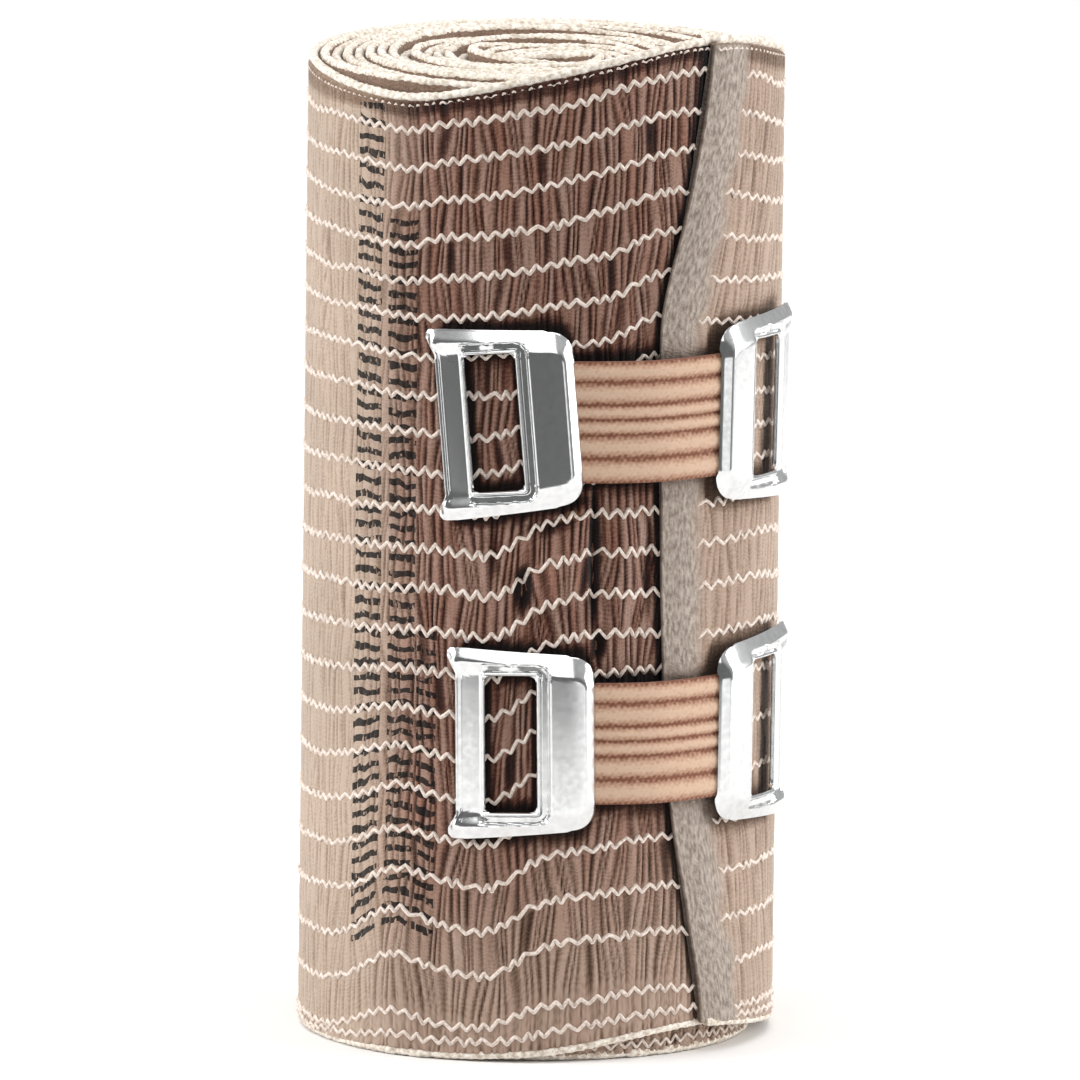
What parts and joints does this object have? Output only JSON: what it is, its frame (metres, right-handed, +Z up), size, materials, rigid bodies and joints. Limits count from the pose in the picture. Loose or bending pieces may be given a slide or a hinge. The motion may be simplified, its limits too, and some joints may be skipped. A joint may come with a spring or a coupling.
{
  "type": "elastic bandage roll with stretch clips",
  "caption": "Crepe elastic bandage wound into a tight roll that stands on its end, its loose end held by stretch clips with pressed metal plates.",
  "frame": {"origin": "centre of the object's box, at the height of the surface that the roll stands on", "axes": "+Z up along the roll, -Y towards the front where the clips show, +X to the right in the front view"},
  "size_m": [0.0496, 0.0496, 0.1046],
  "materials": {
    "crepe": "skin-brown crepe weave with cream zigzag warp threads",
    "clip_metal": "bright pressed sheet",
    "clip_elastic": "ribbed woven elastic"
  },
  "bodies": {
    "root": {"bandage": "crepe", "clip_upper_plate_left": "clip_metal", "clip_upper_plate_right": "clip_metal", "clip_upper_web": "clip_elastic", "clip_lower_plate_left": "clip_metal", "clip_lower_plate_right": "clip_metal", "clip_lower_web": "clip_elastic"}
  },
  "joints": []
}
